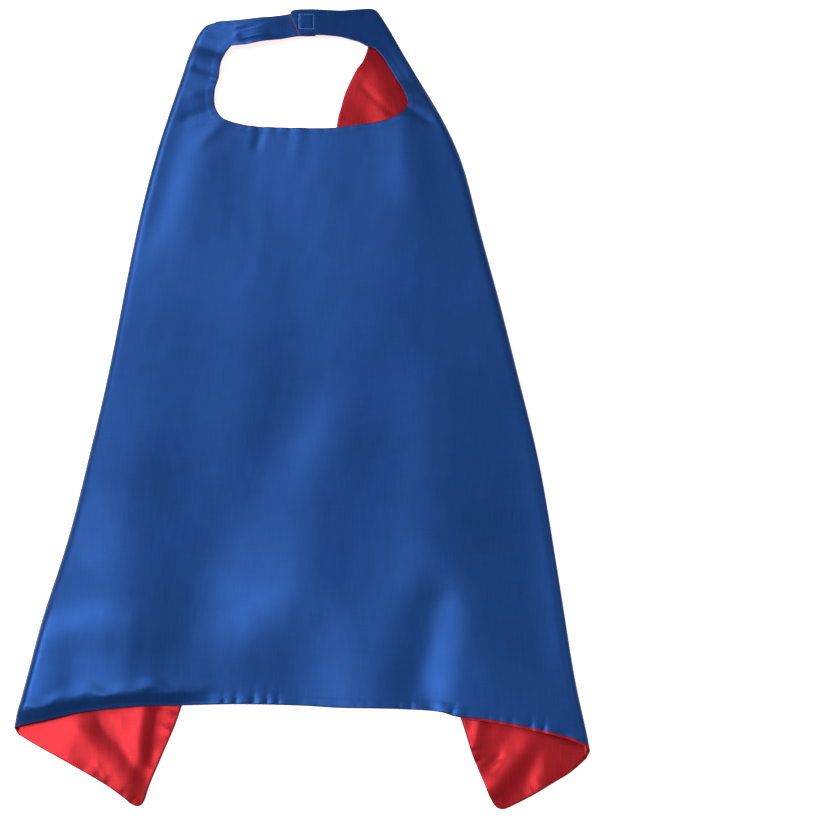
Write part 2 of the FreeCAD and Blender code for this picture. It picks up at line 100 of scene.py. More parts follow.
def spline_of_y(*points):
    """A smooth curve x(y) through (x, y) points that are sorted by y."""
    x, y = np.array(points, float).T
    gap = np.diff(y)
    slope = np.diff(x) / gap
    system = np.eye(len(y))
    right = np.zeros(len(y))
    for i in range(1, len(y) - 1):
        system[i, i - 1:i + 2] = gap[i - 1], 2 * (gap[i - 1] + gap[i]), gap[i]
        right[i] = 6 * (slope[i] - slope[i - 1])
    bend = np.linalg.solve(system, right)

    def at(value):
        value = np.asarray(value, float)
        i = np.clip(np.searchsorted(y, value) - 1, 0, len(y) - 2)
        inside = np.clip(value, y[0], y[-1])
        before, after = inside - y[i], y[i + 1] - inside
        line = (bend[i] * after ** 3 + bend[i + 1] * before ** 3) / (6 * gap[i])
        line += (x[i] / gap[i] - bend[i] * gap[i] / 6) * after
        line += (x[i + 1] / gap[i] - bend[i + 1] * gap[i] / 6) * before
        end_slope = np.where(value < y[0], slope[0], slope[-1])
        return line + end_slope * (value - inside)

    return at


LEFT_EDGE = spline_of_y((-244.5, -332), (-239, -303), (-227, -236), (-212, -165), (-200.5, -92),
                        (-190, -15), (-181.5, 66), (-172.5, 150), (-158, 238), (-139, 322),
                        (-131, 353), (-125, 366), (-116, 378))
RIGHT_EDGE = spline_of_y((243, -352), (242, -343), (235, -303), (226, -236), (217.5, -165),
                         (207.5, -92), (192, -15), (175, 66), (156, 150), (138, 225),
                         (112.5, 284), (81, 346), (66, 375), (57, 390))
LEFT_FREE = spline_of_y((-130, -384), (-104, -310), (-74, -180), (-63, -60), (-78, 100),
                        (-107, 255), (-111, 363))
RIGHT_FREE = spline_of_y((161, -387), (135, -321), (96, -200), (60, -100), (31, -10), (16, 100),
                         (13, 200), (17, 257), (29, 306), (42, 338), (52, 384))


def curve_through(points, step):
    """Points about step apart on a smooth curve through the given ones; None makes a corner."""
    runs, run = [], []
    for point in points:
        if point is None:
            runs.append(run)
            run = [run[-1]]
        else:
            run.append(np.array(point, float))
    runs.append(run)
    smooth = []
    for run in runs:
        ghosts = [2 * run[0] - run[1]] + run + [2 * run[-1] - run[-2]]
        for before, start, end, after in zip(ghosts, ghosts[1:], ghosts[2:], ghosts[3:]):
            count = max(1, round(np.linalg.norm(end - start) / step))
            t = (np.arange(count) / count)[:, None]
            smooth.append(0.5 * (2 * start + (end - before) * t
                                 + (2 * before - 5 * start + 4 * end - after) * t ** 2
                                 + (3 * start - before - 3 * end + after) * t ** 3))
    smooth.append(np.array([runs[-1][-1]]))
    return np.vstack(smooth)


# ---------- the cape's edges
# Every edge runs with the cloth on its left.

EDGE_STEP = 1.6
EDGE_GAP = 3 * EDGE_STEP  # points further apart than this belong to two different curves
EDGE_OVERLAP = 18  # where two pieces meet, each also has the other's edges up to here
SIDES = {"left": (LEFT_EDGE, 1), "right": (RIGHT_EDGE, -1)}  # each edge, and the sign of the way in


def fold_start(side, y):
    """Where the cloth starts to turn at a side fold, on top."""
    edge, inside = SIDES[side]
    return edge(y) + inside * ROUND_TOP


def round_the_turn(side, y, share=1):
    """The pattern's x where a side fold ends, or at a share of the way round it."""
    return fold_start(side, y) - SIDES[side][1] * share * (TURN_TOP + TURN_BOTTOM)


def under_edge(side, y):
    """Where the cloth lies flat again under a side fold."""
    edge, inside = SIDES[side]
    return edge(y) + inside * ROUND_BOTTOM


TURN_MIDDLE = TURN_TOP / (TURN_TOP + TURN_BOTTOM)
LEFT_HEM_LOW, LEFT_COLLAR_HIGH = -331.5, 365.5  # ends of the left fold, underneath
RIGHT_HEM_LOW, RIGHT_COLLAR_HIGH = -351.5, 384.0  # ends of the right fold, underneath

HEM = curve_through([
    (round_the_turn("left", LEFT_HEM_LOW), LEFT_HEM_LOW),
    (round_the_turn("left", -326.5, TURN_MIDDLE), -326.5),
    (-233, -323.5), (-212, -319), (-184, -313), (-138, -308.5), (-104, -308), (-53, -307),
    (-2, -308), (32, -310), (83, -311), (114, -313), (133, -318), (171, -324), (218, -334),
    (234, -340), (round_the_turn("right", -344.5, TURN_MIDDLE), -344.5),
    (round_the_turn("right", RIGHT_HEM_LOW), RIGHT_HEM_LOW)], EDGE_STEP)

RIGHT_COLLAR = curve_through([
    (round_the_turn("right", RIGHT_COLLAR_HIGH), RIGHT_COLLAR_HIGH),
    (round_the_turn("right", 387.5, TURN_MIDDLE), 387.5),
    (51, 391), STRAP_HIGH], EDGE_STEP)

NECK = curve_through([
    STRAP_LOW, (38, 353), (47, 348), (54, 346), (62, 336), (70, 322), (77, 308),
    (83, 296), (87, 282), (85, 273), (76, 264), (60, 258), (40, 255), (15, 251), (-20, 251),
    (-65, 253), (-82, 256), (-96, 261), (-103, 270), (-106, 280), (-106, 294), (-103, 308),
    (-102, 324), (-98, 338), LEFT_STRAP_FOOT], EDGE_STEP)

LEFT_STRAP = curve_through([
    LEFT_STRAP_FOOT, (-74, 347), (-57, 351), (-43, 355), (-33, 358), (-17, 359.5), (-7, 360), None,
    (-7, 385), (-22, 385.2), (-33, 383.6), (-54, 379), (-80, 377), (-106, 375),
    (round_the_turn("left", 373, 0), 373),
    (round_the_turn("left", 368.5, TURN_MIDDLE), 368.5),
    (round_the_turn("left", LEFT_COLLAR_HIGH), LEFT_COLLAR_HIGH)], EDGE_STEP)

STRAP_TOP = curve_through([STRAP_HIGH, (18, 387), TAB_HIGH], EDGE_STEP)
STRAP_BOTTOM = curve_through([TAB_LOW, (3, 359), (19, 358), STRAP_LOW], EDGE_STEP)
TAB_EDGE = curve_through([
    TAB_HIGH, (-14, 386.8), (-27, 386), (-32, 384), (-32.6, 379.5), (-30, 372),
    (-26, 363.5), None, (-23, 357.5), (-12, 358.8), TAB_LOW], EDGE_STEP)

LEFT_SIDE = curve_through([
    (under_edge("left", LEFT_HEM_LOW), LEFT_HEM_LOW), (-221, -342), (-201, -352), (-165, -371),
    (-149, -381), (-141, -387), None, (-135, -389), (-130, -385), (-126, -371), (-117, -347),
    (-104, -310), (-86, -235), (-68, -130), (-63, -40), (-68, 50), (-84, 140), (-107, 255), None,
    (-111, 320), (-112, 363), None,
    (under_edge("left", LEFT_COLLAR_HIGH), LEFT_COLLAR_HIGH)], EDGE_STEP)

RIGHT_SIDE = curve_through([
    (under_edge("right", RIGHT_COLLAR_HIGH), RIGHT_COLLAR_HIGH), (51, 383), None, (47, 351),
    (42, 332), (36, 322), (29, 306), (24, 292), (21, 278), (17, 257), (13, 200), (16, 100),
    (31, -10), (60, -100), (96, -200), (135, -321), (143, -347), (153, -371), (157, -381),
    (162, -389), (167, -391.5), None, (173, -390), (192, -381), (210, -371), (226, -362),
    (under_edge("right", RIGHT_HEM_LOW), RIGHT_HEM_LOW)], EDGE_STEP)


def fold_line(side, low, high, place):
    """A cut line of the pattern along a side fold, from low to high."""
    y = np.linspace(low, high, round(abs(high - low) / EDGE_STEP) + 1)
    return np.stack([place(side, y), y], axis=1)


def straight(start, end):
    """A straight cut line."""
    count = max(1, round(np.linalg.norm(np.subtract(end, start)) / EDGE_STEP))
    return np.linspace(start, end, count + 1)


def left_of(curve):
    """The direction to the left of a curve, at each of its points."""
    run = np.gradient(curve, axis=0)
    run /= np.maximum(np.linalg.norm(run, axis=1), TINY)[:, None]
    return np.stack([-run[:, 1], run[:, 0]], axis=1)


class Edges:
    """The free edges near a piece, for the distance and way from them to any spot."""

    def __init__(self, *curves):
        points = np.vstack(curves)
        steps = [np.r_[0, np.linalg.norm(np.diff(curve, axis=0), axis=1)] for curve in curves]
        self.along = np.cumsum(np.concatenate(steps))
        self.points = points
        self.inside = np.vstack([left_of(curve) for curve in curves])
        self.tree = KDTree(len(points))
        for index, (x, y) in enumerate(points):
            self.tree.insert((x, y, 0), index)
        self.tree.balance()

    def near(self, spots):
        """For each spot: distance to the nearest edge, length along it, and the way inside."""
        found = np.array([self.tree.find((x, y, 0))[1] for x, y in spots], int)
        best = np.full(len(spots), np.inf)
        along = np.zeros(len(spots))
        inside = self.inside[found]
        last = len(self.points) - 1
        for other in (np.maximum(found - 1, 0), np.minimum(found + 1, last)):
            start, run = self.points[found], self.points[other] - self.points[found]
            length2 = np.maximum((run ** 2).sum(1), TINY)
            t = np.clip(((spots - start) * run).sum(1) / length2, 0, 1)
            t[length2 > EDGE_GAP ** 2] = 0
            distance = np.linalg.norm(spots - start - t[:, None] * run, axis=1)
            closer = distance < best
            best = np.where(closer, distance, best)
            here = self.along[found] + t * (self.along[other] - self.along[found])
            along = np.where(closer, here, along)
            way = self.inside[found] + t[:, None] * (self.inside[other] - self.inside[found])
            inside = np.where(closer[:, None], way, inside)
        return best, along, inside / np.maximum(np.linalg.norm(inside, axis=1), TINY)[:, None]


# ---------- how the cloth lies

END_FADE = 1.6  # a ridge fades beyond its ends over this many half widths
WAVELENGTH_SPREAD = (0.7, 1.5)  # ripples are this many times shorter or longer than asked

PUCKER_LENGTH = 14.0  # from one crease to the next along a seam
PUCKER_REACH = 6.5  # how far a crease runs in
PUCKER_LEAST = 0.14  # depth of the creases where nothing gathers the seam
CREASE_MEAN = 0.375  # a crease's mean height, taken off it
PUCKER_DRIFTS = ((1.7, 17, 0), (1.1, 6.1, 0))  # unevenness: amount, length and phase
HEM_DRIFTS = ((1.4, 9, 0), (0.9, 4.1, 1))

# Heights, and the ramps in x and y that bound them: each ramp's start and run.
HEM_TURN_X, HEM_TURN_Y = (-66, -64), (-270, -20)  # the hem's left part turns down
HEM_TURN_DROP, HEM_TURN_WIDTH = 4.8, 11
HEM_RIDGE, HEM_RIDGE_INSET, HEM_RIDGE_WIDTH = 1.2, 13.5, 5
LEAN, LEAN_X, LEAN_Y, LEAN_FROM_BACK = -5.4, (-72, 42), (392, -38), (262, 60)
CLOSURE_X, CLOSURE_RISE, CLOSURE_RISE_Y = -38, 6.2, (290, 60)
CLOSURE_RISE_RIGHT, CLOSURE_RISE_LEFT = 115, 42  # how far the rise reaches to either side
SAG, SAG_Y = -1.4, (250, -100)  # where nothing lies under the top
SAG_LEFT_START, SAG_RIGHT_START, SAG_RUN = -10, 10, 70
LEFT_RISE, LEFT_RISE_X = 3.0, (-60, -130)  # the left half lies highest at its edge
WAVE_RISE, WAVE_CALM, WAVE_Y = 0.55, 0.3, (250, -60)
CRINKLE_RISE = 0.035
STRAP_DIP, STRAP_DIP_X, STRAP_DIP_Y = -3.3, (-66, 32), (334, 12)
STRAP_FOLDS_X, STRAP_FOLDS_LOW = (-92, 6), 343

SHOWS_MOST = 1.9  # the lining never shows further than this at an edge
DRAW_FADE = 2.0  # the shell is drawn back over this distance from an edge
LIP_RISE, LIP_FULL, LIP_START, LIP_RUN = 0.75, 0.6, 0.5, 0.8  # the lining curls up there
GROOVE_DEPTH, GROOVE_WIDTH = 0.2, 0.9  # a row of stitches pulls the tab in
PILLOW_RISE, PILLOW_RUN = 0.2, 4  # and the cloth inside them stands up


def ease(value):
    """0 below 0, 1 above 1, and smooth between."""
    value = np.clip(value, 0, 1)
    return value * value * (3 - 2 * value)


def ramp(value, start, run):
    """0 at start, 1 a run further on, and smooth between; a run below 0 goes the other way."""
    return ease((value - start) / run)


def bump_at(value, middle, half_width):
    """1 in the middle, fading away on both sides of it."""
    return np.exp(-((value - middle) / half_width) ** 2)


def ridges(x, y, folds):
    """Soft ridges along straight lines, or hollows where a height is below 0."""
    height = np.zeros_like(x)
    for x0, y0, x1, y1, rise, width in folds:
        run = np.array([x1 - x0, y1 - y0], float)
        length = np.linalg.norm(run)
        along = ((x - x0) * run[0] + (y - y0) * run[1]) / length
        across = ((x - x0) * run[1] - (y - y0) * run[0]) / length
        beyond = np.maximum(np.maximum(-along, along - length), 0)
        height += rise * np.exp(-(across / width) ** 2 - (beyond / (END_FADE * width)) ** 2)
    return height


def ripples(x, y, wavelength, lengthwise, count, seed):
    """Irregular ripples of about height 1, long along the cloth where lengthwise is above 1."""
    draw = np.random.default_rng(seed)
    height = np.zeros_like(x)
    for _ in range(count):
        angle = draw.uniform(0, 2 * math.pi)
        size = 2 * math.pi / (wavelength * draw.uniform(*WAVELENGTH_SPREAD))
        phase = draw.uniform(0, 2 * math.pi)
        height += np.sin(size * (x * math.cos(angle) + y * math.sin(angle) / lengthwise) + phase)
    return height / math.sqrt(count)


# Each fold is x and y of one end, x and y of the other, its height and its half width.
TOP_FOLDS = [
    (-168, -130, -176, -205, 4.8, 44),
    (-28, -80, -80, -205, -3.6, 32),
    (8, -95, -6, -200, 4.6, 38),
    (-222, -262, -226, -300, 2.6, 28),
    (108, -50, 115, -190, 3.4, 34),
    (112, -230, 100, -290, -4.2, 21),
    (-236, -232, -150, -238, 2.2, 30),
    (186, -90, 200, -250, -2.0, 26),
    (0, -258, 4, -292, -2.2, 36),
    (-138, 236, -154, 145, -1.2, 17),
    (84, 250, 92, 190, 1.6, 20),
    (-20, 225, -10, 120, -1.0, 30),
    (-103, 311, -124, 318, -0.8, 5),
    (-104, 298, -126, 290, 0.6, 6),
    (-108, 271, -130, 262, -0.9, 6),
    (-96, 258, -110, 240, 0.6, 7),
    (88, 273, 104, 262, -1.2, 6),
    (80, 300, 100, 292, 0.6, 8),
    (-57, 252, -61, 232, -0.7, 5),
    (-19, 250, -21, 228, 0.5, 7),
    (-128, 347, -98, 338, -1.9, 8),
]
STRAP_FOLDS = [
    (-100, 357, -46, 372, 1.0, 6),
    (-80, 356, -54, 362, -1.3, 4.5),
]
# Each zone is its x and y, its radius, and how strong its effect is.
TOP_PUCKERS = [
    (-40, -306, 26, 1.3),
    (108, -312, 24, 1.5),
    (205, -330, 30, 1.5),
    (-40, 250, 34, 0.45),
    (-106, 300, 30, 0.25),
    (86, 280, 26, 0.4),
    (-80, 348, 22, 0.2),
]
SIDE_PUCKERS = [
    (-112, -330, 34, 1.2),
    (-165, -370, 26, 0.7),
    (200, -376, 30, 0.6),
    (146, -352, 22, 0.7),
]
LINING_SHOWS = [
    (160, -322, 26, 1.9),
    (203, -331, 30, 1.9),
    (238, -342, 16, 1.9),
    (5, 358, 18, 0.6),
    (35, 354, 18, 0.6),
    (60, 338, 18, 0.6),
    (80, 300, 18, 0.6),
    (87, 276, 14, 0.6),
    (60, 258, 18, 0.5),
    (-102, 309, 7, 0.8),
    (-80, 255, 16, 0.5),
    (-30, 373, 9, 0.7),
    (-24, 360, 6, 0.7),
]


def zones(x, y, places):
    """The strength of an effect that fades away round each of its places."""
    return sum(strength * np.exp(-((x - x0) ** 2 + (y - y0) ** 2) / radius ** 2)
               for x0, y0, radius, strength in places)


def drift(along, parts):
    """An uneven wander along an edge."""
    return sum(amount * np.sin(along / length + phase) for amount, length, phase in parts)


def pucker(x, y, near, places):
    """Short creases that run in from a seam, flatter at the very edge."""
    distance, along, _ = near
    depth = PUCKER_LEAST + zones(x, y, places)
    phase = 2 * math.pi * along / PUCKER_LENGTH + drift(along, PUCKER_DRIFTS)
    crease = (0.5 + 0.5 * np.sin(phase)) ** 2 - CREASE_MEAN
    fade = np.exp(-(distance / PUCKER_REACH) ** 1.5) * (1 - 0.5 * np.exp(-distance / 1.5))
    return -depth * crease * fade


def allowance(near):
    """The step over the seam allowance that is turned in along an edge."""
    return ALLOWANCE_RISE * ramp(near[0], ALLOWANCE_WIDTH, -ALLOWANCE_STEP)


def hem_turn(x, y, near):
    """The left part of the hem, which turns down over the folded side."""
    distance, along, _ = near
    inside = distance - drift(along, HEM_DRIFTS)
    ridge = HEM_RIDGE * bump_at(inside, HEM_RIDGE_INSET, HEM_RIDGE_WIDTH)
    drop = HEM_TURN_DROP * ramp(distance, HEM_TURN_WIDTH, -HEM_TURN_WIDTH)
    return ramp(x, *HEM_TURN_X) * ramp(y, *HEM_TURN_Y) * (ridge - drop)


def strap_tilt(x, y):
    """The right strap and shoulder lean down towards the neck, and are highest at the closure."""
    lean = LEAN * ramp(y, *LEAN_Y) * ramp(x, *LEAN_X) * ramp(y, *LEAN_FROM_BACK)
    rise = np.where(x > CLOSURE_X, 1 - ramp(x, CLOSURE_X, CLOSURE_RISE_RIGHT),
                    bump_at(x, CLOSURE_X, CLOSURE_RISE_LEFT))
    return lean + CLOSURE_RISE * rise * ramp(y, *CLOSURE_RISE_Y)


def top_height(x, y, near):
    """How far the top of the cape stands above its flat place."""
    inside = ramp(x - LEFT_FREE(y), SAG_LEFT_START, SAG_RUN) \
        * ramp(x - RIGHT_FREE(y), SAG_RIGHT_START, -SAG_RUN)
    sag = SAG * inside * ramp(y, *SAG_Y)
    left_rise = LEFT_RISE * ramp(x, *LEFT_RISE_X)
    below_neck = WAVE_CALM + (1 - WAVE_CALM) * ramp(y, *WAVE_Y)
    waves = WAVE_RISE * ripples(x, y, wavelength=110, lengthwise=4.0, count=14, seed=3) * below_neck
    crinkle = CRINKLE_RISE * ripples(x, y, wavelength=24, lengthwise=1.6, count=16, seed=8)
    edge = pucker(x, y, near, TOP_PUCKERS) + allowance(near) + hem_turn(x, y, near)
    return sag + left_rise + waves + crinkle + ridges(x, y, TOP_FOLDS) + edge + strap_tilt(x, y)


def at_edge(spots, near, depth):
    """Pattern x and y, and depth, with shell and lining rolled together at an edge.

    Where the lining shows, the shell is drawn back from the edge and the lining curls up.
    """
    x, y = spots.T
    distance, _, inside = near
    shows = np.clip(zones(x, y, LINING_SHOWS), 0, SHOWS_MOST)
    if depth < SEAM_DEPTH:
        drawn = shows * np.exp(-distance / DRAW_FADE)
        x, y = x + inside[:, 0] * drawn, y + inside[:, 1] * drawn
        shows = 0 * shows
    bend = np.clip(1 - np.maximum(distance - shows, 0) / EDGE_ROLL, 0, 1)
    closed = EDGE_CLOSED * (1 - np.sqrt(1 - bend ** 2))
    lip = LIP_RISE * np.clip(shows / LIP_FULL, 0, 1) * ease((shows + LIP_START - distance) / LIP_RUN)
    return x, y, depth + (SEAM_DEPTH - depth) * closed - lip


def back_at(spots, near, depth):
    """The back: flat on top, round the turn of each side fold, and down the left strap."""
    p, y, depth = at_edge(spots, near, depth)
    past_left, past_right = fold_start("left", y) - p, p - fold_start("right", y)
    left = past_left > past_right
    past = np.where(left, past_left, past_right)
    side = np.where(left, -1, 1)
    edge = np.where(left, LEFT_EDGE(y), RIGHT_EDGE(y))
    quarter = np.where(past < TURN_TOP, past / TURN_TOP, 1 + (past - TURN_TOP) / TURN_BOTTOM)
    angle = np.clip(quarter, 0, 2) * math.pi / 2
    reach = np.where(quarter < 1, ROUND_TOP, ROUND_BOTTOM)
    x = np.where(past < 0, p, edge - side * (reach - (reach - depth) * np.sin(angle)))
    on_strap = ramp(x, *STRAP_FOLDS_X) * (y > STRAP_FOLDS_LOW) * (x < 0)
    dip = STRAP_DIP * ramp(x, *STRAP_DIP_X) * ramp(y, *STRAP_DIP_Y) * (x < 0)
    height = top_height(x, y, near) + ridges(x, y, STRAP_FOLDS) * on_strap + dip
    z = TOP / 2 + (TOP / 2 - depth) * np.cos(angle) + height * (1 + np.cos(angle)) / 2
    return np.stack([x, y, z], axis=1)


def strap_at(spots, near, depth):
    """The right strap and its tab, which lie over the left strap."""
    x, y, depth = at_edge(spots, near, depth)
    box = np.maximum(abs(x - TAPE_CENTRE[0]), abs(y - TAPE_CENTRE[1])) - STITCH_REACH
    groove = GROOVE_DEPTH * bump_at(box, 0, GROOVE_WIDTH)
    pillow = PILLOW_RISE * ramp(box, 0, -PILLOW_RUN)
    height = top_height(x, y, near) + (pillow - groove) * (x < TAB_FOLD)
    return np.stack([x, y, TOP - depth + height], axis=1)


LEFT_SIDE_FOLDS = [
    (-186, -331, -150, -371, 1.1, 9.5),
    (-168, -322, -134, -362, -1.3, 7),
    (-136, -312, -138, -350, 0.7, 7),
    (-121, -316, -126, -350, -0.8, 6),
    (-120, -316, -108, -322, -0.8, 4),
    (-170, -360, -166, -366, 0.7, 4),
]
RIGHT_SIDE_FOLDS = [
    (194, -334, 166, -368, 3.4, 10.5),
    (150, -322, 146, -340, 1.8, 6),
    (159, -357, 164, -353, -1.0, 4.5),
    (207, -352, 200, -376, 1.3, 8),
    (214, -336, 207, -364, 3.0, 14),
    (16, 255, 36, 325, 3.4, 30),
    (68, 262, 62, 312, 2.0, 13),
    (42, 302, 70, 272, -0.7, 4.5),
]
SIDE_SHOWS = [
    (-160, -345, 60, 1.4),
    (190, -350, 60, 1.4),
    (50, 290, 60, 1.4),
]
SIDE_LIFT_MOST = 5.5  # a folded-under side never stands higher than this
SIDE_LIFT_AT_FOLD = 1.5  # nor higher than this beside its fold,
SIDE_LIFT_SLOPE = 0.08  # which grows at this rate away from it
SIDE_LOOSE = 38  # it is fully loose this far from its fold
SIDE_REST, SIDE_REST_SHOWS = 0.7, 0.2  # its usual height, and what it gains where it shows
SIDE_WAVE, SIDE_CRINKLE, SIDE_CALM = 0.5, 0.08, 0.3
SIDE_SOFT_FLOOR = 0.3  # rounds the waves' feet off where they would go below the floor
SIDE_PUCKER_SHARE = 0.7


def side_height(x, y, near, from_fold, folds, seed):
    """How far a folded-under side stands above the floor, loosest where it shows."""
    shows = np.clip(zones(x, y, SIDE_SHOWS), 0, 1)
    waves = SIDE_WAVE * ripples(x, y, wavelength=60, lengthwise=1.5, count=14, seed=seed)
    waves += SIDE_CRINKLE * ripples(x, y, wavelength=20, lengthwise=1.3, count=14, seed=seed + 1)
    waves *= SIDE_CALM + (1 - SIDE_CALM) * shows
    height = SIDE_REST + SIDE_REST_SHOWS * shows + waves + ridges(x, y, folds)
    height = (height + np.sqrt(height ** 2 + SIDE_SOFT_FLOOR)) / 2
    most = np.clip(SIDE_LIFT_AT_FOLD + SIDE_LIFT_SLOPE * from_fold, SIDE_LIFT_AT_FOLD, SIDE_LIFT_MOST)
    height = most * np.tanh(height / most) + SIDE_PUCKER_SHARE * pucker(x, y, near, SIDE_PUCKERS)
    return height * ramp(from_fold, 0, SIDE_LOOSE)


def side_at(side, folds, seed):
    """The place function of one side, folded under."""
    def place(spots, near, depth):
        x, y, depth = at_edge(spots, near, depth)
        from_fold = SIDES[side][1] * (x - under_edge(side, y))
        height = np.maximum(side_height(x, y, near, from_fold, folds, seed), 0)
        return np.stack([x, y, depth + height], axis=1)

    return place


left_side_at = side_at("left", LEFT_SIDE_FOLDS, 21)
right_side_at = side_at("right", RIGHT_SIDE_FOLDS, 31)

# ---------- making meshes

RINGS = (0.35, 0.8, 1.5, 2.6, 4.0, 5.4, 6.8, 8.2, 9.8)  # rows of points follow the edge
SPARSE_RING = 3.0  # rows further in than this have half as many points
DETAIL_TOP, DETAIL_BOTTOM = 228.0, -286.0  # the cloth is meshed twice as finely beyond these
SAME_POINT = 0.05  # points closer than this are one point
NUDGE = 0.2  # the step that a surface's normal is measured over


def outline_of(*parts):
    """One closed outline from curves that follow each other, with no point twice."""
    points = np.vstack(parts)
    keep = np.linalg.norm(points - np.roll(points, 1, axis=0), axis=1) > SAME_POINT
    return points[keep]


def inward(outline):
    """The direction into a closed outline at each of its points, and the outline's area."""
    run = np.roll(outline, -1, axis=0) - np.roll(outline, 1, axis=0)
    area = 0.5 * np.sum(outline[:, 0] * np.roll(outline[:, 1], -1)
                        - outline[:, 1] * np.roll(outline[:, 0], -1))
    normal = np.stack([-run[:, 1], run[:, 0]], axis=1) * np.sign(area)
    return normal / np.maximum(np.linalg.norm(normal, axis=1)[:, None], TINY), abs(area)


def lattice_in(low, high, spacing):
    """Even rows of spots over a box, twice as far apart between its detailed ends."""
    spots = []
    for row, y in enumerate(np.arange(low[1], high[1], spacing * math.sqrt(3) / 2)):
        x = np.arange(low[0] + (row % 2) * spacing / 2, high[0], spacing)
        if DETAIL_BOTTOM < y < DETAIL_TOP:
            x = x[(row // 2) % 2::2] if row % 2 == 0 else x[:0]
        spots.append(np.stack([x, np.full(len(x), y)], axis=1))
    return np.vstack(spots)


def fill(outline, spacing):
    """Triangles that fill a closed outline, closer together near its edges."""
    normal, area = inward(outline)
    border = Edges(np.vstack([outline, outline[:1]]))
    points = [outline]
    for ring in RINGS:
        moved = outline + normal * ring
        points.append(moved[border.near(moved)[0] > 0.95 * ring][::2 if ring > SPARSE_RING else 1])
    lattice = lattice_in(outline.min(0), outline.max(0), spacing)
    distance = border.near(lattice)[0]
    nearest = np.array([border.tree.find((x, y, 0))[1] for x, y in lattice]) % len(outline)
    inside = ((lattice - outline[nearest]) * normal[nearest]).sum(1) > 0
    points.append(lattice[inside & (distance > RINGS[-1] + 0.5 * spacing)])
    every = np.vstack(points)
    count = len(outline)
    loop = [(i, (i + 1) % count) for i in range(count)]
    found = delaunay_2d_cdt([Vector(point) for point in every], loop, [], 1, 1e-6)
    return np.array([tuple(point) for point in found[0]]), np.array(found[2], int), area


def surface(place, spots, edges, depth):
    """Positions of the spots at a depth, and the cloth's normal there."""
    here = place(spots, edges.near(spots), depth)
    sideways, along = spots + (NUDGE, 0), spots + (0, NUDGE)
    run = place(sideways, edges.near(sideways), depth) - here
    rise = place(along, edges.near(along), depth) - here
    normal = np.cross(run, rise)
    return here, normal / np.maximum(np.linalg.norm(normal, axis=1), TINY)[:, None]


def in_scene(item):
    """Put an object into the scene."""
    bpy.context.scene.collection.objects.link(item)
    return item


def mesh_object(name, positions, faces, material, uv=None, normals=None):
    """A mesh object from positions in millimetres."""
    mesh = bpy.data.meshes.new(name)
    mesh.from_pydata((positions * MM).tolist(), [], faces)
    mesh.polygons.foreach_set("use_smooth", [True] * len(mesh.polygons))
    if uv is not None:
        layer = mesh.uv_layers.new(name="pattern")
        corner = np.zeros(len(mesh.loops), np.int32)
        mesh.loops.foreach_get("vertex_index", corner)
        layer.data.foreach_set("uv", (uv[corner] * MM).astype(np.float32).ravel())
    mesh.materials.append(material)
    mesh.update()
    if normals is not None:
        mesh.normals_split_custom_set_from_vertices(normals.tolist())
    return in_scene(bpy.data.objects.new(name, mesh))


CLOSURE_GRAIN_X, CLOSURE_GRAIN_Y = (-37, 9), (292, 52)  # ramps of the zone at the closure
CLOSURE_GRAIN_EASES = (60, 30)  # and of where it falls to half
GRAIN_TURNS = [
    (-188, -328, 78, 1.5),
    (-60, -268, 45, 0.6),
    (-140, 202, 58, 0.85),
    (-118, 336, 23, 2.0),
    (-129, 281, 22, 1.1),
]


def grain_turn(x, y):
    """How far the cloth is pulled off its grain, from 0 to 1."""
    at_closure = ramp(x, *CLOSURE_GRAIN_X) * ramp(y, *CLOSURE_GRAIN_Y)
    at_closure *= 1 - 0.5 * ramp(x, *CLOSURE_GRAIN_EASES)
    return np.clip(at_closure + zones(x, y, GRAIN_TURNS), 0, 1)


def cloth(name, outline, edges, place, depths, spacing, material):
    """A closed thin sheet: the filled outline, laid at its upper and lower depth."""
    spots, triangles, area = fill(outline, spacing)
    layers = [surface(place, spots, edges, depth) for depth in depths]
    count = len(spots)
    sides = dict.fromkeys((start, end) for triangle in triangles.tolist()
                          for start, end in zip(triangle, triangle[1:] + triangle[:1]))
    faces = triangles.tolist() + (triangles[:, ::-1] + count).tolist()
    faces += [(end, start, start + count, end + count)
              for start, end in sides if (end, start) not in sides]
    positions = np.vstack([layers[0][0], layers[1][0]])
    normals = np.vstack([layers[0][1], -layers[1][1]])
    item = mesh_object(name, positions, faces, material, np.vstack([spots, spots]), normals)
    turned = item.data.attributes.new("grain_turn", "FLOAT", "POINT")
    turned.data.foreach_set("value", np.tile(grain_turn(*spots.T), 2).astype(np.float32))
    size = np.ptp(spots, axis=0) * MM
    item["flat"] = [float(size[0]), float(size[1])]
    item["area"] = float(area * MM * MM)
    return item


def tubes(name, paths, radius, sides, material):
    """Round threads along paths, closed at both ends, as one mesh."""
    rings, faces = [], []
    first = 0
    turn = np.arange(sides) * 2 * math.pi / sides
    for path in paths:
        path = np.asarray(path, float)
        run = np.gradient(path, axis=0)
        run /= np.linalg.norm(run, axis=1)[:, None]
        plane = np.linalg.svd(path - path.mean(0), full_matrices=False)[2][-1]
        side = np.cross(run, plane)
        side /= np.linalg.norm(side, axis=1)[:, None]
        other = np.cross(side, run)
        ring = side[:, None] * np.cos(turn)[None, :, None]
        ring = ring + other[:, None] * np.sin(turn)[None, :, None]
        rings.append((path[:, None] + radius * ring).reshape(-1, 3))
        last = first + (len(path) - 1) * sides
        faces += [(a + k, a + (k + 1) % sides, a + sides + (k + 1) % sides, a + sides + k)
                  for a in range(first, last, sides) for k in range(sides)]
        faces.append(tuple(range(first + sides - 1, first - 1, -1)))
        faces.append(tuple(range(last, last + sides)))
        first = last + sides
    return mesh_object(name, np.vstack(rings), faces, material)


# ---------- materials

